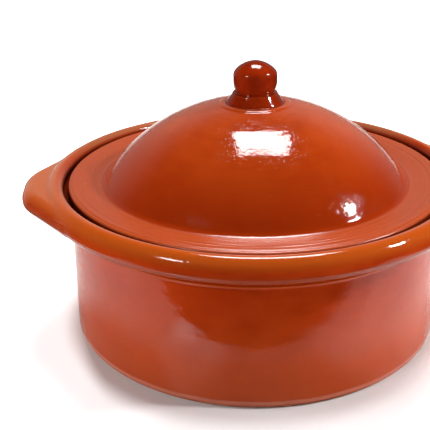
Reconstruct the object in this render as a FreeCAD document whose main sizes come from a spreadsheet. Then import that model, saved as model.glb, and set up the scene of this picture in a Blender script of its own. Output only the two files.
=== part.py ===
"""A round glazed clay casserole with two lug handles and a domed lift-off lid.

Millimetres, +Z up. The origin is the centre of the flat base, on the table,
and the two lugs lie along the X axis.
"""
import FreeCAD, Part
import math
import os

import Sketcher

# Driving dimensions, one cell each.
DIMENSIONS = {
    # Pot: height to the top of the rim, wall and floor.
    "pot_height": 81.5,
    "base_radius": 97.8,
    "base_round": 2.4,
    "wall_lean": 1.2,
    "wall_thick": 7.8,
    "floor_thick": 7.0,
    "floor_round": 12.0,
    # Rolled rim, the cove below it and the ledge inside it.
    "rim_overhang": 12.9,
    "rim_shoulder": 5.5,
    "rim_crest_round": 3.9,
    "rim_crest_reach": 2.24,
    "rim_side": 0.93,
    "rim_under_round": 4.6,
    "cove_rise": 5.0,
    "cove_round": 7.5,
    "seat_side": 2.1,
    "seat_round": 1.5,
    # Lid: flange with a stepped edge, dome and the raised spot that the knob stands on.
    "lid_clearance": 2.8,
    "flange_thick": 5.6,
    "flange_round": 1.4,
    "flange_step": 0.3,
    "flange_step_width": 1.2,
    "flange_width": 13.1,
    "flange_dish": 1.8,
    "dome_rise": 38.4,
    "dome_fillet": 5.0,
    "lid_wall": 6.0,
    "boss_margin": 2.8,
    "boss_step": 0.75,
    # Knob: flared foot, collar, neck groove and bun.
    "foot_spread": 4.0,
    "foot_flare": 11.0,
    "collar_height": 5.23,
    "collar_lip": 1.0,
    "neck_rise": 0.8,
    "neck_inset": 0.9,
    "bun_radius": 11.3,
    "bun_waist_rise": 4.0,
    "bun_waist_round": 14.0,
    "bun_side": 4.1,
    "bun_shoulder": 3.7,
    "bun_shoulder_round": 6.0,
    "crown_rise": 7.0,
    "crown_round": 13.2,
    # Lug handles.
    "lug_projection": 11.2,
    "lug_half_span": 58.0,
    "lug_root_depth": 0.5,
    "lug_corner_round": 30.0,
    "lug_lift": 0.4,
    "lug_thick": 10.1,
    "lug_top_round": 6.2,
    "lug_under_round": 3.2,
}


class Size:
    """A length, kept as its value and as the sheet formula that gives it."""

    def __init__(self, value, formula):
        self.value = value
        self.formula = formula

    def __add__(self, other):
        return Size(self.value + other.value, f"({self.formula} + {other.formula})")

    def __sub__(self, other):
        return Size(self.value - other.value, f"({self.formula} - {other.formula})")


ZERO = Size(0.0, "0")


def leg(slant, side):
    """The other leg of a right triangle with this slant and this side."""
    value = math.sqrt(slant.value ** 2 - side.value ** 2)
    return Size(value, f"sqrt({slant.formula}^2 - {side.formula}^2)")


def share(whole, part, total):
    """The part of a length that part is of total."""
    value = whole.value * part.value / total.value
    return Size(value, f"({whole.formula} * {part.formula} / {total.formula})")


def cap_radius(reach, rise):
    """Radius of the arc that rises this much over this reach from its middle."""
    value = (reach.value ** 2 + rise.value ** 2) / (2 * rise.value)
    return Size(value, f"(({reach.formula}^2 + {rise.formula}^2) / (2 * {rise.formula}))")


def tangent_rise(circle, span, reach):
    """How high the circle's tangent at the height of span crosses this reach."""
    across = leg(circle, span)
    value = (circle.value ** 2 - reach.value * across.value) / span.value
    return Size(
        value,
        f"(({circle.formula}^2 - {reach.formula} * {across.formula}) / {span.formula})",
    )


def corner_round(wanted, side, circle, span):
    """A corner radius, held to what half of the side between two corners has room for."""
    across = leg(circle, span)
    room = 0.9 * side.value * (circle.value + across.value) / span.value
    return Size(
        min(wanted.value, room),
        f"min({wanted.formula}; 0.9 * {side.formula} * ({circle.formula} + {across.formula})"
        f" / {span.formula})",
    )


def within(edge_round, wall, part=0.45):
    """An edge radius, held under its part of the wall that it rounds."""
    value = min(edge_round.value, part * wall.value)
    return Size(value, f"min({edge_round.formula}; {part} * {wall.formula})")


def make_sheet(doc):
    """The sheet of driving dimensions, and the same dimensions as Size objects."""
    sheet = doc.addObject("Spreadsheet::Sheet", "sizes")
    for row, (alias, value) in enumerate(DIMENSIONS.items(), start=1):
        sheet.set(f"A{row}", alias)
        sheet.set(f"B{row}", str(value))
        sheet.setAlias(f"B{row}", alias)
    doc.recompute()
    return {alias: Size(sheet.get(alias), f"sizes.{alias}") for alias in DIMENSIONS}


def new_body(doc, label):
    """An empty body whose label names its file."""
    body = doc.addObject("PartDesign::Body", label)
    body.Label = label
    return body


def sketch_on(body, name, role):
    """A sketch on one of the body's own origin planes."""
    sketch = body.newObject("Sketcher::SketchObject", name)
    plane = next(f for f in body.Origin.OriginFeatures if f.Role == role)
    sketch.AttachmentSupport = [(plane, "")]
    sketch.MapMode = "FlatFace"
    return sketch


def arc_between(start, end, radius, turn):
    """The short arc from start to end; turn is +1 for anticlockwise, -1 for clockwise."""
    chord = end - start
    middle = (start + end) * 0.5
    rise = math.sqrt(radius ** 2 - (chord.Length * 0.5) ** 2)
    side = FreeCAD.Vector(-chord.y, chord.x, 0).normalize() * rise * turn
    centre = middle + side
    circle = Part.Circle(centre, FreeCAD.Vector(0, 0, 1), radius)
    first, last = (start, end) if turn > 0 else (end, start)
    return Part.ArcOfCircle(
        circle,
        math.atan2(first.y - centre.y, first.x - centre.x),
        math.atan2(last.y - centre.y, last.x - centre.x),
    )


def pin_vertex(sketch, curve, point, corner, name):
    """Fix one curve end at (across, up), each bound to its formula, or to an axis for zero."""
    across, up = corner
    for kind, size, axis in (("DistanceX", across, -2), ("DistanceY", up, -1)):
        if size is ZERO:
            sketch.addConstraint(Sketcher.Constraint("PointOnObject", curve, point, axis))
            continue
        index = sketch.addConstraint(
            Sketcher.Constraint(kind, -1, 1, curve, point, size.value)
        )
        label = f"{name}_{kind[-1].lower()}"
        sketch.renameConstraint(index, label)
        sketch.setExpression(f"Constraints.{label}", size.formula)


def draw_outline(sketch, corners, arcs):
    """A closed outline. arcs gives {corner number: (radius, turn)} for the side that starts there."""
    count = len(corners)
    points = [FreeCAD.Vector(a.value, b.value, 0) for a, b in corners]
    ends = []
    for i, start in enumerate(points):
        end = points[(i + 1) % count]
        if i in arcs:
            radius, turn = arcs[i]
            curve = sketch.addGeometry(arc_between(start, end, radius.value, turn))
            ends.append((curve, 1, 2) if turn > 0 else (curve, 2, 1))
            continue
        ends.append((sketch.addGeometry(Part.LineSegment(start, end)), 1, 2))
    for i, (curve, first, last) in enumerate(ends):
        next_curve, next_first, _ = ends[(i + 1) % count]
        sketch.addConstraint(
            Sketcher.Constraint("Coincident", curve, last, next_curve, next_first)
        )
        pin_vertex(sketch, curve, first, corners[i], f"corner_{i}")
        if i in arcs:
            index = sketch.addConstraint(
                Sketcher.Constraint("Radius", curve, arcs[i][0].value)
            )
            sketch.renameConstraint(index, f"round_{i}")
            sketch.setExpression(f"Constraints.round_{i}", arcs[i][0].formula)


def turned_body(doc, label, corners, arcs):
    """A body turned about Z from an outline drawn in the XZ plane."""
    body = new_body(doc, label)
    sketch = sketch_on(body, f"{label}_outline", "XZ_Plane")
    draw_outline(sketch, corners, arcs)
    turned = body.newObject("PartDesign::Revolution", f"{label}_turned")
    turned.Profile = sketch
    turned.ReferenceAxis = (sketch, ["V_Axis"])
    turned.Angle = 360
    body.Tip = turned
    doc.recompute()
    return body


def shared_places(s):
    """Radii and heights that more than one piece uses."""
    crest = s["rim_crest_round"]
    wall_top = s["base_radius"] - s["wall_lean"]
    rim_outer = wall_top + s["rim_overhang"]
    rim_centre = rim_outer - s["rim_shoulder"]
    rim_inner = rim_centre - crest
    roll_height = s["pot_height"] - crest
    # The shoulder's wider curve goes on from the crest's and meets the rim's upright side.
    reach = s["rim_crest_reach"]
    shoulder_round = share(crest, s["rim_shoulder"] - reach, crest - reach)
    shoulder_rise = leg(crest, reach)
    side_top = roll_height + shoulder_rise - share(shoulder_rise, shoulder_round, crest)
    seat_height = roll_height - s["seat_side"] - s["seat_round"]
    flange_radius = rim_inner - s["lid_clearance"]
    flange_top = seat_height + s["flange_thick"]
    flange_edge = within(s["flange_round"], s["flange_thick"])
    step_radius = flange_radius - flange_edge - s["flange_step_width"]
    # The hollow curve at the dome's foot touches the dome and ends level at the dish's low side.
    curve_radius = step_radius - s["flange_width"]
    dish_height = flange_top - s["flange_dish"]
    dome_height = flange_top + s["dome_rise"]
    dome_radius = cap_radius(curve_radius, dome_height - dish_height) - s["dome_fillet"]
    dome_centre = dome_height - dome_radius
    collar_radius = s["bun_radius"] - s["neck_inset"] + s["collar_lip"]
    foot_radius = collar_radius + s["foot_spread"]
    boss_radius = foot_radius + s["boss_margin"]
    return {
        "wall_top": wall_top,
        "rim_outer": rim_outer,
        "rim_centre": rim_centre,
        "rim_inner": rim_inner,
        "roll_height": roll_height,
        "crest_end": (rim_centre + reach, roll_height + shoulder_rise),
        "shoulder_round": shoulder_round,
        "side_top": side_top,
        "rim_under": side_top - s["rim_side"] - s["rim_under_round"],
        "seat_height": seat_height,
        "flange_radius": flange_radius,
        "flange_top": flange_top,
        "flange_edge": flange_edge,
        "step_radius": step_radius,
        "curve_radius": curve_radius,
        "dish_height": dish_height,
        "dome_radius": dome_radius,
        "dome_centre": dome_centre,
        "collar_radius": collar_radius,
        "foot_radius": foot_radius,
        "boss_radius": boss_radius,
        "boss_height": dome_centre + leg(dome_radius, boss_radius) + s["boss_step"],
    }


def make_pot(doc, s, at):
    """The thrown pot: floor, wall, cove, rolled rim and the ledge inside the rim."""
    inner = at["wall_top"] - s["wall_thick"]
    corners = [
        (ZERO, ZERO),
        (s["base_radius"] - s["base_round"], ZERO),
        (s["base_radius"], s["base_round"]),
        (at["wall_top"], at["rim_under"] - s["cove_rise"]),
        (at["rim_outer"] - s["rim_under_round"], at["rim_under"]),
        (at["rim_outer"], at["rim_under"] + s["rim_under_round"]),
        (at["rim_outer"], at["side_top"]),
        at["crest_end"],
        (at["rim_centre"], s["pot_height"]),
        (at["rim_inner"], at["roll_height"]),
        (at["rim_inner"], at["seat_height"] + s["seat_round"]),
        (at["rim_inner"] - s["seat_round"], at["seat_height"]),
        (inner + s["seat_round"], at["seat_height"]),
        (inner, at["seat_height"] - s["seat_round"]),
        (inner, s["floor_thick"] + s["floor_round"]),
        (inner - s["floor_round"], s["floor_thick"]),
        (ZERO, s["floor_thick"]),
    ]
    arcs = {
        1: (s["base_round"], 1),
        3: (s["cove_round"], -1),
        4: (s["rim_under_round"], 1),
        6: (at["shoulder_round"], 1),
        7: (s["rim_crest_round"], 1),
        8: (s["rim_crest_round"], 1),
        10: (s["seat_round"], -1),
        12: (s["seat_round"], 1),
        14: (s["floor_round"], -1),
    }
    return turned_body(doc, "pot", corners, arcs)


def make_lid(doc, s, at):
    """The lid: a dished flange that rests on the ledge, a hollow dome, and a raised knob spot."""
    dome = at["dome_radius"]
    centre = at["dome_centre"]
    shell = dome - s["lid_wall"]
    edge = at["flange_edge"]
    curve_reach = dome + s["dome_fillet"]
    curve_rise = at["dish_height"] + s["dome_fillet"] - centre
    corners = [
        (leg(shell, at["seat_height"] - centre), at["seat_height"]),
        (at["flange_radius"] - edge, at["seat_height"]),
        (at["flange_radius"], at["seat_height"] + edge),
        (at["flange_radius"], at["flange_top"] - s["flange_step"] - edge),
        (at["flange_radius"] - edge, at["flange_top"] - s["flange_step"]),
        (at["step_radius"], at["flange_top"]),
        (at["curve_radius"], at["dish_height"]),
        (share(at["curve_radius"], dome, curve_reach), centre + share(curve_rise, dome, curve_reach)),
        (at["boss_radius"], at["boss_height"] - s["boss_step"]),
        (at["boss_radius"], at["boss_height"]),
        (ZERO, at["boss_height"]),
        (ZERO, centre + shell),
    ]
    arcs = {
        1: (edge, 1),
        3: (edge, 1),
        6: (s["dome_fillet"], -1),
        7: (dome, 1),
        11: (shell, -1),
    }
    return turned_body(doc, "lid", corners, arcs)


def make_knob(doc, s, at):
    """The knob: flared foot, collar, neck groove and a flattened bun to hold."""
    foot = at["boss_height"]
    collar = foot + s["collar_height"]
    neck = collar + s["neck_rise"]
    waist = neck + s["bun_waist_rise"]
    shoulder = waist + s["bun_side"]
    top = shoulder + s["crown_rise"]
    crown = s["bun_radius"] - s["bun_shoulder"]
    corners = [
        (ZERO, foot),
        (at["foot_radius"], foot),
        (at["collar_radius"], collar),
        (s["bun_radius"] - s["neck_inset"], neck),
        (s["bun_radius"], waist),
        (s["bun_radius"], shoulder),
        (crown, top - s["crown_round"] + leg(s["crown_round"], crown)),
        (ZERO, top),
    ]
    arcs = {
        1: (s["foot_flare"], -1),
        3: (s["bun_waist_round"], 1),
        5: (s["bun_shoulder_round"], 1),
        6: (s["crown_round"], 1),
    }
    return turned_body(doc, "knob", corners, arcs)


def bind(owner, prop, size):
    """Tie one property to its formula."""
    owner.setExpression(prop, size.formula)


def edges_where(shape, wanted):
    """Names of the edges whose bounding box and middle point pass the test."""
    names = []
    for number, edge in enumerate(shape.Edges, start=1):
        middle = edge.valueAt((edge.FirstParameter + edge.LastParameter) / 2)
        if wanted(edge.BoundBox, middle):
            names.append(f"Edge{number}")
    return names


def make_lug(doc, s, at, label, pot, turn):
    """A slab of clay with rounded edges, cut to sit against the rolled rim.

    Its two sides leave the rim's circle as tangents and meet a blunt nose.
    """
    span = s["lug_half_span"]
    root = at["rim_outer"] - s["lug_root_depth"]
    nose = at["rim_outer"] + s["lug_projection"]
    half_nose = tangent_rise(root, span, nose)
    corners = [
        (leg(at["rim_centre"], span), ZERO - span),
        (leg(root, span), ZERO - span),
        (nose, ZERO - half_nose),
        (nose, half_nose),
        (leg(root, span), span),
        (leg(at["rim_centre"], span), span),
    ]
    blank = new_body(doc, f"{label}_blank")
    sketch = sketch_on(blank, f"{label}_plan", "XY_Plane")
    bind(sketch, "AttachmentOffset.Base.z", at["rim_under"] + s["lug_lift"])
    draw_outline(sketch, corners, {5: (at["rim_centre"], -1)})
    pad = blank.newObject("PartDesign::Pad", f"{label}_slab")
    pad.Profile = sketch
    bind(pad, "Length", s["lug_thick"])
    blank.Tip = pad
    doc.recompute()
    plan = blank.newObject("PartDesign::Fillet", f"{label}_corners")
    upright = edges_where(
        pad.Shape, lambda box, middle: box.ZLength > 0.01 and abs(middle.x - nose.value) < 0.01)
    plan.Base = (pad, upright)
    bind(plan, "Radius", corner_round(s["lug_corner_round"], half_nose, root, span))
    blank.Tip = plan
    doc.recompute()
    step = plan
    for place, edge_round in (
        ("top", within(s["lug_top_round"], s["lug_thick"], 0.62)),
        ("under", within(s["lug_under_round"], s["lug_thick"], 0.34)),
    ):
        box = step.Shape.BoundBox
        level = box.ZMax if place == "top" else box.ZMin
        outer = edges_where(
            step.Shape, lambda edge_box, middle: edge_box.ZLength < 0.01
            and abs(middle.z - level) < 0.01
            and math.hypot(middle.x, middle.y) > root.value - 0.01)
        edges = blank.newObject("PartDesign::Fillet", f"{label}_{place}_edges")
        edges.Base = (step, outer)
        bind(edges, "Radius", edge_round)
        blank.Tip = edges
        doc.recompute()
        step = edges
    blank.Placement = FreeCAD.Placement(
        FreeCAD.Vector(0, 0, 0), FreeCAD.Rotation(FreeCAD.Vector(0, 0, 1), turn))
    lug = doc.addObject("Part::Cut", label)
    lug.Label = label
    lug.Base = blank
    lug.Tool = pot
    doc.recompute()
    return lug


def check(doc, parts):
    """Stop on any failed feature or bad shape before a file is written."""
    for item in doc.Objects:
        if "Invalid" in item.State or "Error" in item.State:
            raise RuntimeError(f"{item.Name} failed: {item.State}")
    for part in parts:
        if part.Shape.isNull() or not part.Shape.isValid():
            raise RuntimeError(f"{part.Label} has no valid shape")


def main():
    """Build the assembly and write one STEP file for each sub-part."""
    doc = FreeCAD.newDocument("casserole")
    s = make_sheet(doc)
    at = shared_places(s)
    pot = make_pot(doc, s, at)
    parts = [
        pot,
        make_lug(doc, s, at, "handle_right", pot, 0),
        make_lug(doc, s, at, "handle_left", pot, 180),
        make_lid(doc, s, at),
        make_knob(doc, s, at),
    ]
    doc.recompute()
    check(doc, parts)
    os.makedirs("parts", exist_ok=True)
    for part in parts:
        part.Shape.exportStep(f"parts/{part.Label}.step")
        box = part.Shape.BoundBox
        print(f"{part.Label}: {len(part.Shape.Solids)} solid, {part.Shape.Volume / 1000:.1f} cm3, "
              f"x {box.XMin:.1f}..{box.XMax:.1f}, z {box.ZMin:.1f}..{box.ZMax:.1f}")


main()
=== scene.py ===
"""Looks of a round glazed clay casserole with a domed lift-off lid, on a pale studio floor."""
import math

import bpy
import numpy as np
from mathutils import Matrix, Vector


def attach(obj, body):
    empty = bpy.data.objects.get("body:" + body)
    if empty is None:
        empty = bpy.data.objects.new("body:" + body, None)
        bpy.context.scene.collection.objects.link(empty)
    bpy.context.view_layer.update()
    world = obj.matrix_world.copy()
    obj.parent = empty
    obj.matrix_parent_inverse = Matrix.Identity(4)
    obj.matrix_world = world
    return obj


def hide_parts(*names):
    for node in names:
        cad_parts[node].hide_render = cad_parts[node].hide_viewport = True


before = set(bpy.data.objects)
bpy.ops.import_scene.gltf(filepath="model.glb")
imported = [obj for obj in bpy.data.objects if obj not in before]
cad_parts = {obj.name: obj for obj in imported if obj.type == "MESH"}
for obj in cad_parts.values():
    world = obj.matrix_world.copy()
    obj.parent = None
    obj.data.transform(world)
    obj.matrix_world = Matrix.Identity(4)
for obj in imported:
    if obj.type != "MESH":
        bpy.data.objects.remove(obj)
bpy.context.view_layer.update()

MM = 0.001
TURN = 2 * math.pi

# Sizes in millimetres. They are the frame's, but for small changes at the knob and the spot under it.
# A pair in the pot, the lid or the knob is a radius and a height.

# Pot: base, wall, cove, rolled rim, ledge and floor. From WALL_FINE up the straight wall's points lie
# closer together, for the ridge.
BASE = 97.8
BASE_ROUND = 2.4
WALL_FINE = (96.72, 58.0)
WALL_TOP = (96.6, 63.99)
COVE = 7.5
RIM_OUTER = 109.5
RIM_CENTRE = 104.0
RIM_INNER = 100.1
RIM_UNDER = 68.993
UNDER_ROUND = 4.6
SIDE_TOP = 74.523
SHOULDER_ROUND = 7.659
CREST_END = (106.24, 80.793)
ROLL = 3.9
CREST = 81.5
SEAT = 74.0
LEDGE_ROUND = 1.5
WALL_INSIDE = 88.8
FLOOR_TOP = 7.0
FLOOR_ROUND = 12.0

# Lid: stepped flange, dished top, dome, and the spot under the knob with the reach of its soft step.
FLANGE = 97.3
FLANGE_EDGE = 1.4
STEP_FOOT = (95.9, 79.3)
STEP_INSET = 0.3
STEP_TOP = (94.7, 79.6)
DISH = (81.6, 77.8)
FOOT_CURVE = 5.0
DOME = 97.918
DOME_CENTRE = 20.082
LID_WALL = 6.0
SHELL = DOME - LID_WALL
MOUTH_HALF = 0.9
MOUTH_RISE = 1.3
MOUTH_ROUND = 1.6
BOSS = 18.2
BOSS_OUTWARD = 1.0
BOSS_INWARD = 1.1
BOSS_TOP = 117.044

# Knob: radii, and the rise from one ring to the next.
KNOB_FOOT = 15.4
FLARE = 14.2
FLARE_RISE = 0.9
FLARE_ROUND = 1.6
COLLAR = 11.4
COLLAR_RISE = 5.23
COLLAR_CURVE = 37.0
NECK = 10.4
NECK_RISE = 0.8
NECK_ROUND = 0.7
BUN = 11.3
BUN_CURVE = 14.0
WAIST_RISE = 4.0
SIDE_RISE = 4.1
CROWN_RISE = 6.98
CROWN_SIDE_PULL = 2.8
CROWN_TOP_PULL = 5.65

# Lugs: the plan, then pairs of the level and the rounding of the lower and the upper face.
LUG_ROOT = 109.0
LUG_HALF_SPAN = 58.0
LUG_TANGENT = math.asin(LUG_HALF_SPAN / LUG_ROOT)
LUG_NOSE = 120.7
LUG_CORNER = 30.0
LUG_UNDER = (69.4, 3.2)
LUG_TOP = (79.5, 6.2)

# How a lug's section is swept from a point inside the rim, and how it runs out on the rim.
LUG_CENTRE = (RIM_CENTRE, 73.0)
LUG_SWEEP = math.radians(84)
LUG_DIRECTIONS = 300
LUG_COLUMNS = 181
LUG_ROWS = 84
LUG_RIM_INSET = 0.22
LUG_HOLLOW = 1.2
LUG_LEAST_HOLLOW = 0.3
LUG_SUNK = 0.10
LUG_END_SUNK = 0.40
LUG_END = (0.80, 0.98)
LUG_BACK_INSET = 1.0
LUG_BACK_RISE = 1.5

# Hand-made unevenness: a seed, and rows of (size, waves round, rise per wave).
POT_OVAL = (3, [(0.16, 2, 900), (0.10, 3, 700), (0.05, 5, 500)])
POT_RINGS = (5, [(0.010, 1, 9.0), (0.006, -2, 5.1), (0.02, 3, 60.0)])
INNER_GROOVES = (7, [(0.035, 1, 8.0), (0.015, -1, 5.3)])
FLOOR_SPIRAL = (9, [(0.06, 1, 9.0), (0.03, 1, 5.6)])
RIM_LIFT = (11, [(0.10, 2, 900), (0.07, 3, 900), (0.04, 7, 900)])
LID_OVAL = (13, [(0.12, 2, 900), (0.08, 3, 900)])
LID_MARKS = (15, [(0.020, 1, 5.0), (0.012, -1, 3.1), (0.03, 2, 23.0)])
KNOB_WOBBLE = (17, [(0.10, 2, 60), (0.06, 3, 40), (0.03, 5, 17)])

# How far each piece is drawn in or down, so that being uneven takes it less than 0.1 mm past the frame.
# The ridges below stand out further.
POT_INWARD = 0.34
RIM_DROP = 0.21
LID_INWARD = 0.2
KNOB_INWARD = 0.1

# A small ridge on the wall under the rim: height on the wall, size and half width.
WALL_RIDGE = (62.4, 0.36, 0.6)

# Fine ridges left by the turning tool on the flange: rows of (radius, height, half width). They drift
# a little from their radius, and there are none above TURNING_TOP.
TURNING_LINES = [(91.4, 0.30, 0.34), (88.6, 0.20, 0.24), (87.2, 0.18, 0.22), (85.8, 0.18, 0.22),
                 (84.4, 0.20, 0.22)]
TURNING_SEED = 19
TURNING_DRIFT = 0.12
TURNING_TOP = 80.0

# How many times the convexity of a surface is evened out over neighbouring points.
BEND_ROUNDS = 6


def smooth(low, high, value):
    """0 below low, 1 above high, and a soft step between them."""
    t = np.clip((value - low) / (high - low), 0, 1)
    return t * t * (3 - 2 * t)


# Outlines are lines of (radius, height) points.

def run(start, end, step=1.5):
    """A straight stretch."""
    start, end = np.array(start, float), np.array(end, float)
    count = max(1, math.ceil(np.linalg.norm(end - start) / step))
    return start + (end - start) * np.linspace(0, 1, count + 1)[:, None]


def swing(start, end, radius, turn, step=0.45):
    """The short arc from start to end; turn is 1 for anticlockwise and -1 for clockwise."""
    start, end = np.array(start, float), np.array(end, float)
    chord = end - start
    length = np.linalg.norm(chord)
    rise = math.sqrt(max(radius ** 2 - length ** 2 / 4, 0.0))
    centre = (start + end) / 2 + turn * rise * np.array([-chord[1], chord[0]]) / length
    first = math.atan2(*(start - centre)[::-1])
    last = math.atan2(*(end - centre)[::-1])
    if turn > 0 and last < first:
        last += TURN
    if turn < 0 and last > first:
        last -= TURN
    count = max(4, math.ceil(abs(last - first) * radius / step))
    angles = np.linspace(first, last, count + 1)
    return centre + radius * np.column_stack([np.cos(angles), np.sin(angles)])


def soft_step(start, end):
    """An S-shaped line from start to end, level at both."""
    t = np.linspace(0, 1, 9)
    return np.column_stack([start[0] + (end[0] - start[0]) * t,
                            start[1] + (end[1] - start[1]) * smooth(0, 1, t)])


def curve(start, start_pull, end_pull, end):
    """A cubic curve from start to end, drawn toward the two points between them."""
    t = np.linspace(0, 1, 31)[:, None]
    start, start_pull, end_pull, end = np.array([start, start_pull, end_pull, end], float)
    return ((1 - t) ** 3 * start + 3 * t * (1 - t) ** 2 * start_pull
            + 3 * t ** 2 * (1 - t) * end_pull + t ** 3 * end)


def joined(*stretches):
    """One line through all the stretches, with no point twice."""
    points = np.vstack(stretches)
    apart = np.linalg.norm(np.diff(points, axis=0), axis=1) > 1e-5
    return points[np.r_[True, apart]]


def rim_side(round_step, side_step, top_step):
    """The rolled rim's outer side in four stretches, from its underside to the crest."""
    side_foot = (RIM_OUTER, RIM_UNDER + UNDER_ROUND)
    return [
        swing((RIM_OUTER - UNDER_ROUND, RIM_UNDER), side_foot, UNDER_ROUND, 1, round_step),
        run(side_foot, (RIM_OUTER, SIDE_TOP), side_step),
        swing((RIM_OUTER, SIDE_TOP), CREST_END, SHOULDER_ROUND, 1, top_step),
        swing(CREST_END, (RIM_CENTRE, CREST), ROLL, 1, top_step),
    ]


def pot_outline():
    """From the middle of the base, up the outside, over the rim and down to the middle of the floor."""
    ledge_outer, ledge_inner = RIM_INNER - LEDGE_ROUND, WALL_INSIDE + LEDGE_ROUND
    return joined(
        run((0, 0), (BASE - BASE_ROUND, 0), 4.0),
        swing((BASE - BASE_ROUND, 0), (BASE, BASE_ROUND), BASE_ROUND, 1, 0.35),
        run((BASE, BASE_ROUND), WALL_FINE, 1.2),
        run(WALL_FINE, WALL_TOP, 0.3),
        swing(WALL_TOP, (RIM_OUTER - UNDER_ROUND, RIM_UNDER), COVE, -1, 0.4),
        *rim_side(0.4, 0.5, 0.35),
        swing((RIM_CENTRE, CREST), (RIM_INNER, CREST - ROLL), ROLL, 1, 0.35),
        run((RIM_INNER, CREST - ROLL), (RIM_INNER, SEAT + LEDGE_ROUND), 0.5),
        swing((RIM_INNER, SEAT + LEDGE_ROUND), (ledge_outer, SEAT), LEDGE_ROUND, -1),
        run((ledge_outer, SEAT), (ledge_inner, SEAT), 1.2),
        swing((ledge_inner, SEAT), (WALL_INSIDE, SEAT - LEDGE_ROUND), LEDGE_ROUND, 1),
        run((WALL_INSIDE, SEAT - LEDGE_ROUND), (WALL_INSIDE, FLOOR_TOP + FLOOR_ROUND), 1.5),
        swing((WALL_INSIDE, FLOOR_TOP + FLOOR_ROUND), (WALL_INSIDE - FLOOR_ROUND, FLOOR_TOP),
              FLOOR_ROUND, -1, 0.8),
        run((WALL_INSIDE - FLOOR_ROUND, FLOOR_TOP), (0, FLOOR_TOP), 2.5),
    )


def lid_outline():
    """From the top of the hollow, round the flange and up the dome to the spot under the knob."""
    mouth = math.sqrt(SHELL ** 2 - (SEAT - DOME_CENTRE) ** 2)
    mouth_top, mouth_foot = (mouth - MOUTH_HALF, SEAT + MOUTH_RISE), (mouth + MOUTH_HALF, SEAT)
    share = DOME / (DOME + FOOT_CURVE)
    dome_foot = (DISH[0] * share, DOME_CENTRE + (DISH[1] + FOOT_CURVE - DOME_CENTRE) * share)
    spot = BOSS + BOSS_OUTWARD
    spot_foot = (spot, math.sqrt(DOME ** 2 - spot ** 2) + DOME_CENTRE)
    spot_top = (BOSS - BOSS_INWARD, BOSS_TOP)
    return joined(
        swing((0, DOME_CENTRE + SHELL), mouth_top, SHELL, -1, 1.5),
        swing(mouth_top, mouth_foot, MOUTH_ROUND, 1, 0.25),
        run(mouth_foot, (FLANGE - FLANGE_EDGE, SEAT), 1.5),
        swing((FLANGE - FLANGE_EDGE, SEAT), (FLANGE, SEAT + FLANGE_EDGE), FLANGE_EDGE, 1, 0.25),
        run((FLANGE, SEAT + FLANGE_EDGE), (FLANGE, STEP_FOOT[1] - FLANGE_EDGE), 0.4),
        swing((FLANGE, STEP_FOOT[1] - FLANGE_EDGE), STEP_FOOT, FLANGE_EDGE, 1, 0.25),
        soft_step((STEP_FOOT[0] - STEP_INSET, STEP_FOOT[1]), STEP_TOP),
        run(STEP_TOP, DISH, 0.15),
        swing(DISH, dome_foot, FOOT_CURVE, -1, 0.3),
        swing(dome_foot, spot_foot, DOME, 1, 1.2),
        soft_step(spot_foot, spot_top),
        run(spot_top, (0, BOSS_TOP), 1.5),
    )


def knob_outline():
    """From the middle of the foot, round the flare and the neck and over the bun."""
    flare = BOSS_TOP + FLARE_RISE
    collar = BOSS_TOP + COLLAR_RISE
    neck = collar + NECK_RISE
    waist = neck + WAIST_RISE
    shoulder = waist + SIDE_RISE
    top = shoulder + CROWN_RISE
    return joined(
        run((0, BOSS_TOP), (KNOB_FOOT, BOSS_TOP), 1.5),
        swing((KNOB_FOOT, BOSS_TOP), (FLARE, flare), FLARE_ROUND, -1, 0.2),
        swing((FLARE, flare), (COLLAR, collar), COLLAR_CURVE, -1, 0.4),
        swing((COLLAR, collar), (NECK, neck), NECK_ROUND, -1, 0.12),
        swing((NECK, neck), (BUN, waist), BUN_CURVE, 1, 0.25),
        run((BUN, waist), (BUN, shoulder), 0.3),
        curve((BUN, shoulder), (BUN, shoulder + CROWN_SIDE_PULL), (CROWN_TOP_PULL, top), (0, top)),
    )


# Hand-made unevenness: each shape gives how far a point moves outward and how far up.

def waves(angle, height, pattern):
    """A sum of slow waves round and up the piece."""
    seed, rows = pattern
    pick = np.random.default_rng(seed)
    total = 0.0
    for size, turns, rise in rows:
        shift = pick.uniform(0, TURN)
        total = total + size * np.sin(turns * angle + height * TURN / rise + shift)
    return total


def pot_shape(angle, r, z):
    """Slightly out of round, with throwing rings on the wall and none on the ledge."""
    outer_wall = smooth(96.0, 96.5, r)
    outside = outer_wall * smooth(3, 12, z) * (1 - smooth(60, 66, z))
    inside = smooth(10, 22, z) * (1 - smooth(66, 72, z)) * (1 - smooth(90, 91, r))
    floor = (1 - smooth(8, 12, z)) * smooth(3, 5, z) * (1 - smooth(70, 80, r))
    rim = smooth(70, 80, z) * smooth(98.9, 100.5, r)
    oval = (waves(angle, z, POT_OVAL) - POT_INWARD) * smooth(60, 95, r)
    ridge_height, ridge_size, ridge_half = WALL_RIDGE
    ridge = ridge_size * np.exp(-((z - ridge_height) / ridge_half) ** 2) * outer_wall
    rings = outside * waves(angle, z, POT_RINGS)
    grooves = inside * waves(angle, z, INNER_GROOVES)
    spiral = floor * waves(angle, r, FLOOR_SPIRAL)
    lift = rim * (waves(angle, z, RIM_LIFT) - RIM_DROP)
    return oval + rings + grooves + ridge, spiral + lift


def turning_lines(angle, r):
    """Ridges of the turning tool: each drifts a little and is broken, and they fade toward the back."""
    pick = np.random.default_rng(TURNING_SEED)
    lines = 0.0
    for radius, size, half in TURNING_LINES:
        drift = TURNING_DRIFT * np.sin(2 * angle + pick.uniform(0, TURN))
        broken = 0.75 + 0.25 * np.sin(pick.integers(7, 15) * angle + pick.uniform(0, TURN))
        lines = lines + size * broken * np.exp(-((r - radius - drift) / half) ** 2)
    return lines * (0.6 - 0.4 * np.sin(angle))


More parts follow.
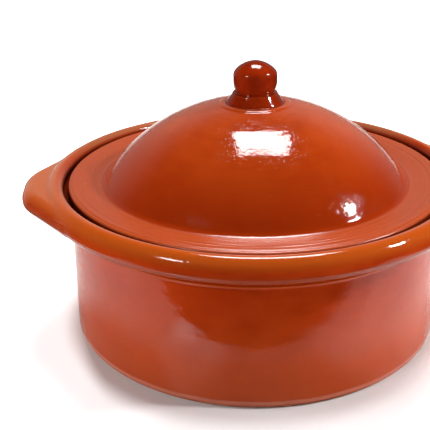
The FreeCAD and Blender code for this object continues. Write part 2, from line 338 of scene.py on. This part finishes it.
def lid_shape(angle, r, z):
    """Turning marks on top of the flange and the dome; the resting face stays flat."""
    top = smooth(SEAT + 2.6, SEAT + 5.0, z)
    oval = (waves(angle, z, LID_OVAL) - LID_INWARD) * smooth(70, 90, r)
    marks = waves(angle, r, LID_MARKS) * smooth(19, 24, r)
    return oval, top * (marks + turning_lines(angle, r) * (z < TURNING_TOP))


def knob_shape(angle, r, z):
    """A knob turned by hand, a little out of round above its foot."""
    above_foot = smooth(BOSS_TOP + 1, BOSS_TOP + 6, z)
    wobble = waves(angle, z, KNOB_WOBBLE) - KNOB_INWARD
    return above_foot * wobble * smooth(0, 5, r), 0.0 * r


# Meshes.

def bend_of(points, normals, edges):
    """How convex the surface is at each point, per millimetre, evened out over its neighbours."""
    a, b = edges[:, 0], edges[:, 1]
    step = points[b] - points[a]
    length = np.maximum((step ** 2).sum(1), 1e-12)
    curve = ((normals[b] - normals[a]) * step).sum(1) / length
    near = np.bincount(a, minlength=len(points)) + np.bincount(b, minlength=len(points))
    near = np.maximum(near, 1)
    value = (np.bincount(a, curve, len(points)) + np.bincount(b, curve, len(points))) / near
    for _ in range(BEND_ROUNDS):
        value = 0.5 * value + 0.5 * (
            np.bincount(a, value[b], len(points)) + np.bincount(b, value[a], len(points))) / near
    return value


def make_piece(name, points, faces, body, node):
    """A smooth-shaded mesh in the CAD frame, with its convexity kept as an attribute."""
    mesh = bpy.data.meshes.new(name)
    mesh.from_pydata((np.asarray(points) * MM).tolist(), [], faces)
    mesh.validate()
    mesh.shade_smooth()
    count = len(mesh.vertices)
    places = np.zeros(count * 3, np.float32)
    mesh.vertices.foreach_get("co", places)
    normals = np.zeros(count * 3, np.float32)
    mesh.vertices.foreach_get("normal", normals)
    edges = np.zeros(len(mesh.edges) * 2, np.int32)
    mesh.edges.foreach_get("vertices", edges)
    bend = bend_of(places.reshape(-1, 3).astype(float) / MM, normals.reshape(-1, 3).astype(float),
                   edges.reshape(-1, 2))
    attribute = mesh.attributes.new("bend", "FLOAT", "POINT")
    attribute.data.foreach_set("value", bend.astype(np.float32))
    piece = bpy.data.objects.new(name, mesh)
    bpy.context.scene.collection.objects.link(piece)
    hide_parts(node)
    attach(piece, body)
    return piece


def turned(name, outline, sides, shape, body, node):
    """A piece turned about the upright axis from its outline, then made slightly uneven."""
    middle = outline[1:-1]
    rows = len(middle)
    angle, r = np.meshgrid(np.arange(sides) * TURN / sides, middle[:, 0])
    z = np.repeat(middle[:, 1:2], sides, axis=1)
    out, up = shape(angle, r, z)
    r, z = r + out, z + up
    points = np.stack([r * np.cos(angle), r * np.sin(angle), z], axis=-1).reshape(-1, 3)
    start, end = len(points), len(points) + 1
    points = np.vstack([points, [0, 0, outline[0, 1]], [0, 0, outline[-1, 1]]])
    row, here = np.meshgrid(np.arange(rows - 1), np.arange(sides), indexing="ij")
    beside = (here + 1) % sides
    quads = np.stack([row * sides + here, row * sides + beside, (row + 1) * sides + beside,
                      (row + 1) * sides + here], axis=-1)
    faces = quads.reshape(-1, 4).tolist()
    last_row = (rows - 1) * sides
    for first in range(sides):
        second = (first + 1) % sides
        faces.append([start, second, first])
        faces.append([end, last_row + first, last_row + second])
    return make_piece(name, points, faces, body, node)


def reach_of(outline, bearings):
    """How far an outline lies from the origin, in each direction."""
    return np.interp(bearings, np.arctan2(outline[:, 1], outline[:, 0]),
                     np.hypot(outline[:, 0], outline[:, 1]))


def lug_reach(angles):
    """How far the lug's plan lies from the axis: tangent sides and a blunt nose."""
    across, up = LUG_ROOT * math.cos(LUG_TANGENT), LUG_ROOT * math.sin(LUG_TANGENT)
    corner = (LUG_ROOT ** 2 - LUG_NOSE * across) / up
    cut = LUG_CORNER * math.tan(LUG_TANGENT / 2)
    side = math.hypot(LUG_NOSE - across, up - corner)
    away = np.array([across - LUG_NOSE, up - corner]) / side * cut
    past_corner = (LUG_NOSE + away[0], corner + away[1])
    half = joined(
        run((LUG_NOSE, 0), (LUG_NOSE, corner - cut), 0.3),
        swing((LUG_NOSE, corner - cut), past_corner, LUG_CORNER, 1, 0.3),
        run(past_corner, (across, up), 0.5),
    )
    return reach_of(half, np.abs(angles))


def slab_reach(reach, directions, centre):
    """How far the slab's section lies from the centre: a wide round above and a small one below."""
    width = max(reach - centre[0], 0.4)
    away = []
    for direction in directions:
        across, up = math.cos(direction), abs(math.sin(direction))
        level, edge = LUG_TOP if direction >= 0 else LUG_UNDER
        half = abs(level - centre[1])
        edge = min(edge, half)
        # Halve the stretch between a point inside the slab and one outside it.
        low, high = 0.0, width * 1.2 + 8
        for _ in range(30):
            middle = (low + high) / 2
            x, y = middle * across - (width - edge), middle * up - (half - edge)
            depth = math.hypot(max(x, 0), max(y, 0)) + min(max(x, y), 0) - edge
            low, high = (middle, high) if depth < 0 else (low, middle)
        away.append(low)
    return np.array(away)


def soft_max(a, b, hollow):
    """The larger of two lengths, with a hollow of that size where they cross."""
    h = np.clip(0.5 + 0.5 * (a - b) / hollow, 0, 1)
    return b * (1 - h) + a * h + hollow * h * (1 - h)


def lug_section(slab, rim, directions, end):
    """One section of a lug as (radius, height) points; end is 0 at its middle and 1 where it runs out."""
    hollow = LUG_HOLLOW * (1 - end) + LUG_LEAST_HOLLOW
    away = soft_max(rim, slab, hollow) - LUG_SUNK - LUG_END_SUNK * end
    r = LUG_CENTRE[0] + away * np.cos(directions)
    z = LUG_CENTRE[1] + away * np.sin(directions)
    along = np.r_[0, np.cumsum(np.hypot(np.diff(r), np.diff(z)))]
    even = np.linspace(0, along[-1], LUG_ROWS)
    r, z = np.interp(even, along, r), np.interp(even, along, z)
    back = RIM_CENTRE - LUG_BACK_INSET
    return np.r_[r, back, back], np.r_[z, z[-1] - LUG_BACK_RISE, z[0] + LUG_BACK_RISE]


def make_lug(name, side, node):
    """A slab of clay luted on the rim: its section flows out of the rim's and back into it."""
    centre = np.array(LUG_CENTRE)
    directions = np.linspace(-LUG_SWEEP, LUG_SWEEP, LUG_DIRECTIONS)
    rim = reach_of(joined(*rim_side(0.2, 0.2, 0.2)) - centre, directions) - LUG_RIM_INSET
    angles = np.linspace(-LUG_TANGENT, LUG_TANGENT, LUG_COLUMNS)
    points = []
    for angle, reach in zip(angles, lug_reach(angles)):
        end = smooth(*LUG_END, abs(angle) / LUG_TANGENT)
        r, z = lug_section(slab_reach(reach, directions, centre), rim, directions, end)
        turn = angle if side > 0 else angle + math.pi
        points.append(np.column_stack([r * math.cos(turn), r * math.sin(turn), z]))
    ring = LUG_ROWS + 2
    faces = []
    for column in range(LUG_COLUMNS - 1):
        here, beside = column * ring, (column + 1) * ring
        for row in range(ring):
            above = (row + 1) % ring
            faces.append([here + row, beside + row, beside + above, here + above])
    last = (LUG_COLUMNS - 1) * ring
    faces.append(list(range(ring)))
    faces.append(list(range(last + ring - 1, last - 1, -1)))
    return make_piece(name, np.vstack(points), faces, "pot", node)


# Shader nodes.

class Graph:
    """The nodes of one material or world, added one call at a time."""

    def __init__(self, tree):
        self.nodes, self.links = tree.nodes, tree.links
        self.nodes.clear()

    def feed(self, socket, value):
        """Link a socket or a node's first output into the socket, or write a plain value on it."""
        if isinstance(value, bpy.types.Node):
            value = value.outputs[0]
        if isinstance(value, bpy.types.NodeSocket):
            self.links.new(value, socket)
        else:
            socket.default_value = value

    def add(self, kind, inputs=None, **settings):
        """A new node with its settings made and its inputs fed."""
        node = self.nodes.new(kind)
        for key, value in settings.items():
            setattr(node, key, value)
        for key, value in (inputs or {}).items():
            self.feed(node.inputs[key], value)
        return node

    def math(self, operation, *values):
        return self.add("ShaderNodeMath", dict(enumerate(values)), operation=operation).outputs[0]

    def plus(self, first, *others):
        for other in others:
            first = self.math("ADD", first, other)
        return first

    def minus(self, a, b):
        return self.math("SUBTRACT", a, b)

    def times(self, first, *others):
        for other in others:
            first = self.math("MULTIPLY", first, other)
        return first

    def distance(self, x, y):
        """How far a point is from the origin."""
        return self.math("SQRT", self.plus(self.times(x, x), self.times(y, y)))

    def noise(self, vector, scale, detail, roughness):
        return self.add("ShaderNodeTexNoise", {"Vector": vector, "Scale": scale, "Detail": detail,
                                               "Roughness": roughness}).outputs["Fac"]

    def ramp(self, value, low, high, out_low=0.0, out_high=1.0):
        """A soft step from out_low at low to out_high at high; low may be above high."""
        return self.add("ShaderNodeMapRange", {"Value": value, "From Min": low, "From Max": high,
                                               "To Min": out_low, "To Max": out_high},
                        interpolation_type="SMOOTHSTEP").outputs[0]

    def mix(self, share, a, b):
        """Colour a, with colour b over it by its share."""
        node = self.add("ShaderNodeMix", data_type="RGBA", blend_type="MIX")
        for socket, value in ((node.inputs[0], share), (node.inputs[6], a), (node.inputs[7], b)):
            self.feed(socket, value)
        return node.outputs[2]

    def coordinates(self, kind="Object"):
        return self.add("ShaderNodeTexCoord").outputs[kind]

    def split(self, vector):
        return self.add("ShaderNodeSeparateXYZ", {0: vector}).outputs

    def seen_by_camera(self):
        return self.add("ShaderNodeLightPath").outputs["Is Camera Ray"]


def new_material(name):
    """A new material that is made of nodes."""
    material = bpy.data.materials.new(name)
    material.use_nodes = True
    return material


def colour(red, green, blue):
    """A linear colour from one as seen on screen, 0 to 255."""
    parts = [v / 255 for v in (red, green, blue)]
    return tuple(v / 12.92 if v <= 0.04045 else ((v + 0.055) / 1.055) ** 2.4 for v in parts) + (1.0,)


# Clay under clear glaze: the body colour, and its deep and thin shades.
CLAY = colour(180, 58, 12)
CLAY_DEEP = colour(162, 47, 8)
CLAY_THIN = colour(206, 90, 28)
LID_CLAY = colour(179, 64, 15)
LID_DEEP = colour(162, 51, 9)
KNOB_CLAY = colour(172, 50, 9)
KNOB_DEEP = colour(134, 27, 3)
KNOB_THIN = colour(200, 84, 26)
FRECKLE = colour(70, 24, 12)
BARE_DARK = colour(168, 96, 62)
BARE_PALE = colour(190, 118, 82)

# Painted reflections on faces seen at a glancing angle, a pale sheen on the rim and the lid and a dark edge
# on the knob: its colour, and a ramp over how far they are turned away.
RIM_PAINTED_SHEEN = (colour(214, 150, 118), (0.45, 1.0, 0.0, 0.60))
LID_PAINTED_SHEEN = (colour(214, 150, 118), (0.3, 0.95, 0.0, 0.15))
KNOB_PAINTED_DARK_REFLECTION = (colour(84, 26, 8), (0.15, 0.8, 0.0, 0.7))
GLANCING_REFLECTION_HEIGHT = (66.0, 73.0)

# Patches of colour, some of them painted shade and some a painted sheen: a colour, how much of it shows,
# and a zone.
# A zone is rows of (coordinate, where it starts, where it is full) in millimetres.
RIM_ROLL = (colour(184, 78, 20), 1.0, [("r", 102.2, 104.5), ("z", 74.5, 79.5)])
# Painted shade under the rolled rim.
RIM_UNDERSIDE_PAINTED_SHADE = (colour(112, 52, 32), 0.5, [("z", 74.5, 71.5), ("z", 66.5, 68.5), ("r", 103.5, 106.0)])
# Painted pale sheen on the crest at the rear, where the rim would mirror the pale backdrop.
REAR_CREST_PAINTED_SHEEN = (colour(152, 102, 71), 0.6, [("y", 20.0, 60.0), ("z", 78.5, 80.0), ("r", 99.0, 101.0)])
# Painted light: the lower outer wall is lighter, for light thrown up from the floor.
LOW_WALL_PAINTED_LIGHT = (colour(204, 80, 22), 0.6, [("z", 58.0, 8.0), ("r", 93.0, 95.0)])
# Darker inside the pot.
INNER_WALL = (colour(112, 22, 8), 0.75, [("r", 89.5, 88.5), ("z", 5.0, 6.5)])
# Painted shade on the lip's inner face above the ledge, where the gap round the lid is dark.
INNER_LIP_PAINTED_SHADE = (colour(104, 24, 6), 0.8, [
    ("r", 103.0, 100.4), ("r", 98.5, 99.8), ("z", 74.0, 76.0), ("z", 81.2, 77.0)])
# Painted shade in the gap round the lid, on the ledge's outer part and the foot of the lip.
LID_GAP_PAINTED_SHADE = (colour(80, 18, 6), 0.9, [
    ("r", 94.0, 96.0), ("z", 79.0, 77.0), ("r", 100.8, 100.3), ("z", 73.0, 73.8)])
LEDGE = (colour(206, 110, 62), 0.8, [
    ("r", 88.5, 90.0), ("r", 96.0, 94.0), ("z", 72.0, 73.5), ("z", 77.5, 75.0)])
FLANGE_TOP = (colour(177, 72, 31), 0.8, [("r", 79.0, 80.4), ("z", 76.5, 77.5)])
# Painted shade on the lid's outer side, down in the gap.
FLANGE_SIDE_PAINTED_SHADE = (colour(92, 22, 6), 0.8, [("r", 96.6, 97.1), ("z", 79.0, 78.2)])
# Painted shade: the dome darker toward its foot.
DOME_PAINTED_SHADE = (colour(148, 41, 5), 0.7, [("z", 112.0, 84.0), ("r", 81.0, 79.5)])
# A pale line just above the bare clay at the base.
PALE_BASE_LINE = (colour(222, 150, 126), 0.5, [("ragged", 1.6, 2.4), ("ragged", 4.4, 3.4)])

# Zones that mirror less than the rest.
INNER_FOLD = [("r", 104.5, 103.0), ("z", 78.5, 80.0)]
INNER_SIDE = [("r", 101.2, 100.4), ("z", 72.8, 73.8), ("z", 79.0, 77.2)]


class Glaze(Graph):
    """Transparent glaze over red clay. Its r, y and z are millimetres on the object itself."""

    def __init__(self, name, body, deep, specular=0.5):
        """Body colour in clouds, patches and streaks, deeper where the glaze lies thick."""
        self.material = new_material(name)
        super().__init__(self.material.node_tree)
        self.deep, self.specular = deep, specular
        self.place = self.coordinates()
        x, self.y, self.z = [self.times(part, 1 / MM) for part in self.split(self.place)]
        self.r = self.distance(x, self.y)
        around = self.math("ARCTAN2", self.y, x)
        wheel = self.add("ShaderNodeCombineXYZ", {0: self.times(around, 12.0), 1: self.r, 2: self.z})
        self.bend = self.add("ShaderNodeAttribute", attribute_name="bend").outputs["Fac"]
        cloud = self.noise(self.place, 22.0, 3.0, 0.55)
        self.patch = self.noise(self.place, 75.0, 3.0, 0.6)
        self.streak = self.noise(wheel, 0.26, 3.0, 0.6)
        self.grain = self.noise(self.place, 900.0, 2.0, 0.6)
        tone = self.plus(self.times(cloud, 0.55), self.times(self.patch, 0.30),
                         self.times(self.streak, 0.15))
        self.base = self.mix(self.ramp(tone, 0.36, 0.64), deep, body)

    def zone(self, rows):
        """1 where every coordinate is past its full mark, 0 before its start, and soft between."""
        return self.times(*[self.ramp(getattr(self, name), start, full) for name, start, full in rows])

    def tint(self, share, shade):
        """A colour over what is there, by its share."""
        self.base = self.mix(share, self.base, shade)

    def paint(self, shade, strength, rows):
        """A patch in a colour of its own; gives back where it lies."""
        where = self.zone(rows)
        self.tint(self.times(where, strength), shade)
        return where

    def roughen(self, amount):
        self.rough = self.plus(self.rough, amount)

    def raise_by(self, amount):
        self.height = self.plus(self.height, amount)

    def dull(self, amount):
        """Less mirroring."""
        self.specular = self.minus(self.specular, amount)

    def pale_edges(self, thin, near_axis=1.0):
        """Glaze runs thin on convex edges; near_axis is how much of that shows close to the axis."""
        edge = self.plus(self.bend, self.times(self.minus(self.patch, 0.5), 0.12))
        away = self.ramp(self.r, 21.0, 30.0, near_axis, 1.0)
        self.tint(self.times(self.ramp(edge, 0.06, 0.30, 0.0, 0.6), away), thin)

    def paint_glancing_reflection(self, reflected_colour, limits):
        # Paints a reflection into the colour of faces seen at a glancing angle, above the given height.
        facing = self.add("ShaderNodeLayerWeight", {"Blend": 0.5}).outputs["Facing"]
        self.tint(self.times(self.ramp(facing, *limits), self.ramp(self.z, *GLANCING_REFLECTION_HEIGHT)), reflected_colour)

    def freckles(self):
        """Small dark dots in about one cell of fourteen; gives back where they are."""
        cells = self.add("ShaderNodeTexVoronoi", {"Vector": self.place, "Scale": 330.0, "Randomness": 1.0})
        chosen = self.math("GREATER_THAN", self.split(cells.outputs["Color"])[0], 0.93)
        dot = self.times(self.ramp(cells.outputs["Distance"], 0.10, 0.17, 1.0, 0.0), chosen)
        self.tint(self.times(dot, 0.45), FRECKLE)
        return dot

    def surface(self, gloss, sparkle=0.12):
        """Glaze pooled in hollows, dark grains and freckles, and orange peel that catches the light."""
        self.tint(self.times(self.ramp(self.times(self.bend, -1.0), 0.03, 0.30), 0.55), self.deep)
        self.tint(self.ramp(self.grain, 0.60, 0.78, 0.0, 0.22), self.deep)
        dot = self.freckles()
        self.rough = self.plus(self.ramp(self.patch, 0.35, 0.7, gloss, gloss + 0.03), self.times(dot, 0.25))
        fine = self.noise(self.place, 620.0, 1.5, 0.5)
        wide = self.noise(self.place, 210.0, 2.0, 0.5)
        tiny = self.noise(self.place, 1100.0, 1.0, 0.5)
        self.height = self.plus(
            self.times(fine, 0.85), self.times(wide, 0.7), self.times(self.streak, 0.10),
            self.times(tiny, 0.30), self.ramp(self.grain, 0.60, 0.74, 0.0, sparkle),
            self.times(dot, -0.2))

    def flange(self):
        """A drier, gritty flange with painted shade on its outer side, and painted shade on the dome toward
        its foot.
        """
        top = self.paint(*FLANGE_TOP)
        self.roughen(self.times(top, 0.16))
        self.raise_by(self.times(self.noise(self.place, 850.0, 2.0, 0.65), top, 1.3))
        self.paint(*DOME_PAINTED_SHADE)
        self.dull(self.times(self.paint(*FLANGE_SIDE_PAINTED_SHADE), 0.5))

    def inside(self):
        """Darker inside the pot, painted shade on the lip's inner face and in the gap round the lid, and a
        painted pale sheen on the crest at the rear.
        """
        for patch in (INNER_WALL, INNER_LIP_PAINTED_SHADE, REAR_CREST_PAINTED_SHEEN, LID_GAP_PAINTED_SHADE):
            self.paint(*patch)
        self.dull(self.times(self.zone(INNER_FOLD), 0.24))
        self.dull(self.times(self.zone(INNER_SIDE), 0.5))

    def worn_ledge(self):
        """A ledge rubbed pale and rough by the lid."""
        self.roughen(self.times(self.paint(*LEDGE), 0.35))

    def bare_base(self):
        """Unglazed clay under the base, ending unevenly, with a pale line just above it."""
        self.ragged = self.plus(self.z, self.times(self.minus(self.patch, 0.5), 1.2))
        self.paint(*PALE_BASE_LINE)
        bare = self.ramp(self.ragged, 1.8, 1.2)
        self.tint(bare, self.mix(self.ramp(self.grain, 0.3, 0.7), BARE_DARK, BARE_PALE))
        self.roughen(self.times(bare, 0.65))
        self.raise_by(self.times(self.grain, bare, 1.2))

    def finish(self, peel=1.0):
        """The shader of all this; peel is how strong the orange peel is."""
        bump = self.add("ShaderNodeBump", {"Height": self.height, "Strength": 0.30 * peel,
                                           "Distance": 0.2 * MM})
        shader = self.add("ShaderNodeBsdfPrincipled", {
            "Base Color": self.base, "Roughness": self.rough, "Normal": bump, "IOR": 1.5,
            "Specular IOR Level": self.specular})
        self.add("ShaderNodeOutputMaterial", {"Surface": shader})
        return self.material


def rim_glaze(name):
    """What the pot and the lugs share: a paler rim, a painted sheen on it at glancing angles, and painted
    shade below it.
    """
    clay = Glaze(name, CLAY, CLAY_DEEP)
    clay.paint(*RIM_ROLL)
    clay.pale_edges(CLAY_THIN)
    clay.paint_glancing_reflection(*RIM_PAINTED_SHEEN)
    clay.paint(*RIM_UNDERSIDE_PAINTED_SHADE)
    return clay


def pot_clay():
    clay = rim_glaze("pot_clay")
    # Painted light on the lower outer wall.
    clay.paint(*LOW_WALL_PAINTED_LIGHT)
    clay.surface(gloss=0.05)
    clay.inside()
    clay.worn_ledge()
    clay.bare_base()
    return clay.finish()


def lug_clay(name):
    clay = rim_glaze(name)
    clay.surface(gloss=0.05)
    return clay.finish()


def lid_clay():
    clay = Glaze("lid_clay", LID_CLAY, LID_DEEP)
    clay.pale_edges(CLAY_THIN, near_axis=0.2)
    # Painted pale sheen at glancing angles.
    clay.paint_glancing_reflection(*LID_PAINTED_SHEEN)
    clay.surface(gloss=0.045, sparkle=0.38)
    clay.flange()
    return clay.finish()


def knob_clay():
    clay = Glaze("knob_clay", KNOB_CLAY, KNOB_DEEP, specular=0.36)
    clay.pale_edges(KNOB_THIN, near_axis=0.2)
    # Painted dark reflection at the knob's glancing edges.
    clay.paint_glancing_reflection(*KNOB_PAINTED_DARK_REFLECTION)
    clay.surface(gloss=0.08)
    return clay.finish(peel=0.4)


# The object.

pot = turned("casserole_pot", pot_outline(), 384, pot_shape, "pot", "pot")
lug_right = make_lug("lug_right", 1, "handle_right")
lug_left = make_lug("lug_left", -1, "handle_left")
lid = turned("casserole_lid", lid_outline(), 320, lid_shape, "lid", "lid")
knob = turned("lid_knob", knob_outline(), 144, knob_shape, "lid", "knob")

pot.data.materials.append(pot_clay())
for lug in (lug_right, lug_left):
    lug.data.materials.append(lug_clay(f"{lug.name}_clay"))
lid.data.materials.append(lid_clay())
knob.data.materials.append(knob_clay())


# Studio, in metres. The camera, the lamps and the card are turned a little from the lugs' square.

SIDE_TURN = Matrix.Rotation(math.radians(-3.2), 3, "Z")
WHITE = (1.0, 1.0, 1.0, 1.0)
BLACK = (0.0, 0.0, 0.0, 1.0)
PAPER = (0.92, 0.90, 0.90, 1.0)

# Floor: half its side, the middle of the pot's shadow, and ramps of (start, end) or (start, end,
# first value, last value) that keep the paper dark in the shadow and whiten it away from there.
FLOOR_HALF = 6.0
SHADOW_MIDDLE = (-0.0035, -0.0061)
SHADOW_EDGE = (0.0950, 0.1110)
SHADOW_LEFT = (-0.080, -0.098, 0.0, 0.006)
NEAR_LIFT = (-0.045, -0.085, 0.38, 0.66)
FAR_LIFT = (0.14, 0.45, 0.0, 0.42)

# Card: half its side, its height over the floor, and ramps of the same kind for its dark parts.
CARD_HALF = 3.0
CARD_HEIGHT = 0.0006
ROOM_FRONT = -0.147
ROOM_SLANT = 0.06
ROOM_SOFTNESS = (-0.03, 0.06, 0.002, 0.012)
CARD_SIDES = (0.190, 0.215)
CARD_BACK = (0.9, 0.6)
SHADE_MIDDLE = 0.005
MIDDLE_SHADE = (0.062, 0.030, 0.0, 0.58)
LEFT_SHADE = ((-0.090, -0.106, 0.0, 0.30), (-0.078, -0.108))
RIGHT_SHADE = ((0.030, 0.055, 0.0, 0.34), (-0.112, -0.140))
GLEAM_MIDDLE = (-0.087, -0.133)
GLEAM = (0.019, 0.008, 0.0, 0.6)

# Lamps: the key's name, place, facing, width, height and brightness. The others face the pot's middle
# from one distance, in rows of (name, azimuth, elevation, width, height, brightness). The glaze
# doesn't mirror the washes.
KEY = ("key", (0.22, 0.76, 2.10), (-0.05, -1.0, -1.3), 0.92, 0.70, 17.8)
POT_MIDDLE = Vector((0, 0, 0.09))
LAMP_REACH = 2.4
LAMPS = [("right", 80, 36, 0.18, 0.20, 205.0), ("left", -50, 35, 0.45, 0.26, 23.0)]
WASHES = [("wash_0", -95, 12, 1.0, 1.0, 7.4), ("wash_2", 95, 12, 1.0, 1.0, 7.1)]

# Room: the dim light all round, and the paler stretch behind the pot by depth and height.
ROOM_LIGHT = 0.012
REAR_LIGHT = 0.24
REAR_DEPTH = (0.30, 0.85)
REAR_HEIGHT = (0.72, 0.42)

# Camera: its place, and its turn, tilt and roll in degrees.
CAMERA_PLACE = Vector((-0.04129, -0.39280, 0.22759))
CAMERA_TURN = -2.935
CAMERA_TILT = 66.278
CAMERA_ROLL = -0.796
LENS = 66.74
SENSOR = 36.0


def level_square(name, height, half):
    """A level square of the stage, with its middle on the pot's axis."""
    corners = [(-half, -half, height), (half, -half, height), (half, half, height), (-half, half, height)]
    mesh = bpy.data.meshes.new(name)
    mesh.from_pydata(corners, [], [(0, 1, 2, 3)])
    thing = bpy.data.objects.new(name, mesh)
    bpy.context.scene.collection.objects.link(thing)
    return thing


def floor_paper():
    """Pale paper that keeps the pot's shadow and is whitened round it, for the camera only."""
    material = new_material("floor_paper")
    graph = Graph(material.node_tree)
    x, y, _ = graph.split(graph.coordinates())
    from_shadow = graph.distance(graph.minus(x, SHADOW_MIDDLE[0]), graph.minus(y, SHADOW_MIDDLE[1]))
    from_shadow = graph.plus(from_shadow, graph.ramp(x, *SHADOW_LEFT))
    near = graph.times(graph.ramp(from_shadow, *SHADOW_EDGE), graph.ramp(x, *NEAR_LIFT))
    far = graph.ramp(graph.distance(x, y), *FAR_LIFT)
    strength = graph.times(graph.seen_by_camera(), graph.plus(near, far))
    paper = graph.add("ShaderNodeBsdfDiffuse", {"Color": PAPER})
    lift = graph.add("ShaderNodeEmission", {"Color": WHITE, "Strength": strength})
    lifted = graph.add("ShaderNodeAddShader", {0: paper, 1: lift})
    graph.add("ShaderNodeOutputMaterial", {"Surface": lifted})
    return material


def card_black():
    """The dark room past the paper's edges, the shaded paper in front of the pot, and a gleam on it."""
    material = new_material("card_black")
    graph = Graph(material.node_tree)
    x, y, _ = graph.split(graph.coordinates())
    front = graph.minus(graph.plus(y, graph.times(x, ROOM_SLANT)), ROOM_FRONT)
    room = graph.ramp(graph.math("DIVIDE", front, graph.ramp(x, *ROOM_SOFTNESS)), 1.0, -1.0)
    sides = graph.ramp(graph.math("ABSOLUTE", x), *CARD_SIDES)
    middle = graph.ramp(graph.math("ABSOLUTE", graph.minus(x, SHADE_MIDDLE)), *MIDDLE_SHADE)
    left, right = [graph.times(graph.ramp(x, *across), graph.ramp(y, *along))
                   for across, along in (LEFT_SHADE, RIGHT_SHADE)]
    cover = room
    for part in (sides, middle, left, right):
        cover = graph.math("MAXIMUM", cover, part)
    cover = graph.times(cover, graph.ramp(y, *CARD_BACK))
    black = graph.add("ShaderNodeBsdfDiffuse", {"Color": BLACK})
    clear = graph.add("ShaderNodeBsdfTransparent")
    shown = graph.add("ShaderNodeMixShader", {0: cover, 1: clear, 2: black})
    from_gleam = graph.distance(graph.minus(x, GLEAM_MIDDLE[0]), graph.minus(y, GLEAM_MIDDLE[1]))
    strength = graph.times(graph.ramp(from_gleam, *GLEAM), graph.minus(1.0, room))
    gleam = graph.add("ShaderNodeEmission", {"Color": WHITE, "Strength": strength})
    gleaming = graph.add("ShaderNodeAddShader", {0: shown, 1: gleam})
    graph.add("ShaderNodeOutputMaterial", {"Surface": gleaming})
    return material


def mirror_only(thing):
    """Shown in reflections and nowhere else."""
    thing.visible_camera = False
    thing.visible_diffuse = False
    thing.visible_shadow = False
    thing.visible_transmission = False
    thing.visible_volume_scatter = False


def soft_box(name, place, facing, width, height, brightness):
    """A rectangular lamp of an even brightness at one place, facing one way."""
    lamp = bpy.data.lights.new(name, "AREA")
    lamp.shape = "RECTANGLE"
    lamp.size = width
    lamp.size_y = height
    lamp.energy = brightness * 4 * width * height
    thing = bpy.data.objects.new(name, lamp)
    bpy.context.scene.collection.objects.link(thing)
    thing.location = SIDE_TURN @ Vector(place)
    thing.rotation_mode = "QUATERNION"
    thing.rotation_quaternion = SIDE_TURN.to_quaternion() @ (-Vector(facing)).to_track_quat("Z", "Y")
    return thing


def side_box(name, azimuth, elevation, width, height, brightness):
    """A lamp that faces the pot; azimuth 0 is the camera's side and 90 the right side."""
    a, e = math.radians(azimuth), math.radians(elevation)
    outward = Vector((math.sin(a) * math.cos(e), -math.cos(a) * math.cos(e), math.sin(e)))
    return soft_box(name, POT_MIDDLE + LAMP_REACH * outward, -outward, width, height, brightness)


def room_light():
    """A dim room that is paler behind the pot, and white where the camera sees it."""
    world = bpy.data.worlds.new("studio")
    bpy.context.scene.world = world
    world.use_nodes = True
    graph = Graph(world.node_tree)
    _, depth, height = graph.split(graph.coordinates("Generated"))
    rear = graph.times(graph.ramp(depth, *REAR_DEPTH), graph.ramp(height, *REAR_HEIGHT))
    light = graph.plus(graph.times(rear, REAR_LIGHT), ROOM_LIGHT)
    light = graph.math("MAXIMUM", light, graph.seen_by_camera())
    background = graph.add("ShaderNodeBackground", {"Color": WHITE, "Strength": light})
    graph.add("ShaderNodeOutputWorld", {"Surface": background})


def place_camera():
    camera = bpy.data.objects.new("camera", bpy.data.cameras.new("camera"))
    bpy.context.scene.collection.objects.link(camera)
    camera.data.lens = LENS
    camera.data.sensor_width = SENSOR
    camera.location = SIDE_TURN @ CAMERA_PLACE
    camera.rotation_mode = "QUATERNION"
    camera.rotation_quaternion = (
        SIDE_TURN @ Matrix.Rotation(math.radians(CAMERA_TURN), 3, "Z")
        @ Matrix.Rotation(math.radians(CAMERA_TILT), 3, "X")
        @ Matrix.Rotation(math.radians(CAMERA_ROLL), 3, "Z")
    ).to_quaternion()
    bpy.context.scene.camera = camera


floor = level_square("studio_floor", 0.0, FLOOR_HALF)
floor.data.materials.append(floor_paper())
card = level_square("dark_card", CARD_HEIGHT, CARD_HALF)
card.data.materials.append(card_black())
mirror_only(card)
card.rotation_euler = SIDE_TURN.to_euler()

soft_box(*KEY)
for row in LAMPS:
    side_box(*row)
for row in WASHES:
    side_box(*row).visible_glossy = False

room_light()
place_camera()
bpy.context.scene.view_settings.view_transform = "Standard"
